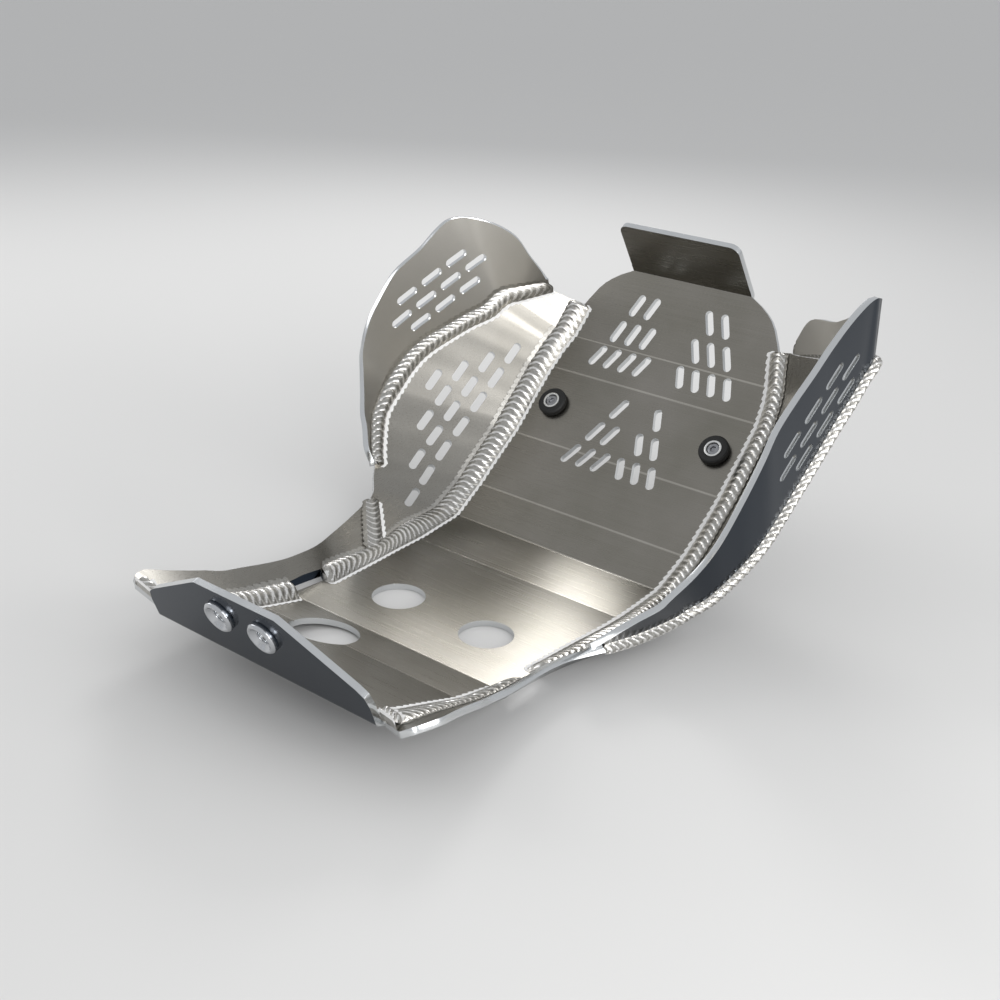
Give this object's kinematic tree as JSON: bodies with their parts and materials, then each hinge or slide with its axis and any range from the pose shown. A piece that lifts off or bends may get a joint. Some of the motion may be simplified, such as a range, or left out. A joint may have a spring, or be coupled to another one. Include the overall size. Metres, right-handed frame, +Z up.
{
  "type": "motorcycle skid plate",
  "caption": "Folded and welded aluminium skid plate that guards the underside and front of an off-road motorcycle engine, with vented side panels, drain holes and a hooked top tab.",
  "frame": {"origin": "on the underside of the flat belly, midway between the two round drain holes", "axes": "+X to the motorcycle's right, +Y forward, +Z up; the flat belly is level"},
  "size_m": [0.3588, 0.4445, 0.2166],
  "materials": {
    "plate_sheet": "brushed inside, polished outside",
    "panel_sheet": "brushed inside, polished outside",
    "sill_sheet": "brushed inside, polished outside",
    "ear_sheet": "brushed inside, polished outside",
    "weld": "rippled weld bead",
    "rubber": "matt",
    "sleeve": "turned",
    "screw": "plated",
    "nut": "plated",
    "cup": "turned and polished"
  },
  "bodies": {
    "root": {"main_plate": "plate_sheet", "side_panel_left": "panel_sheet", "side_panel_right": "panel_sheet", "sill_left": "sill_sheet", "sill_right": "sill_sheet", "ear_left": "ear_sheet", "ear_right": "ear_sheet", "main_weld_left": "weld", "main_weld_right": "weld", "rear_weld_left": "weld", "rear_weld_right": "weld", "ear_weld_left": "weld", "ear_weld_right": "weld", "outer_ear_weld_left": "weld", "outer_ear_weld_right": "weld", "joint_weld_left": "weld", "joint_weld_right": "weld", "corner_weld_left": "weld", "corner_weld_right": "weld", "rubber_buffer_left": "rubber", "rubber_buffer_right": "rubber", "buffer_sleeve_left": "sleeve", "buffer_sleeve_right": "sleeve", "buffer_screw_left": "screw", "buffer_screw_right": "screw", "buffer_nut_left": "nut", "buffer_nut_right": "nut", "bolt_cup_left": "cup", "bolt_cup_right": "cup"}
  },
  "joints": []
}
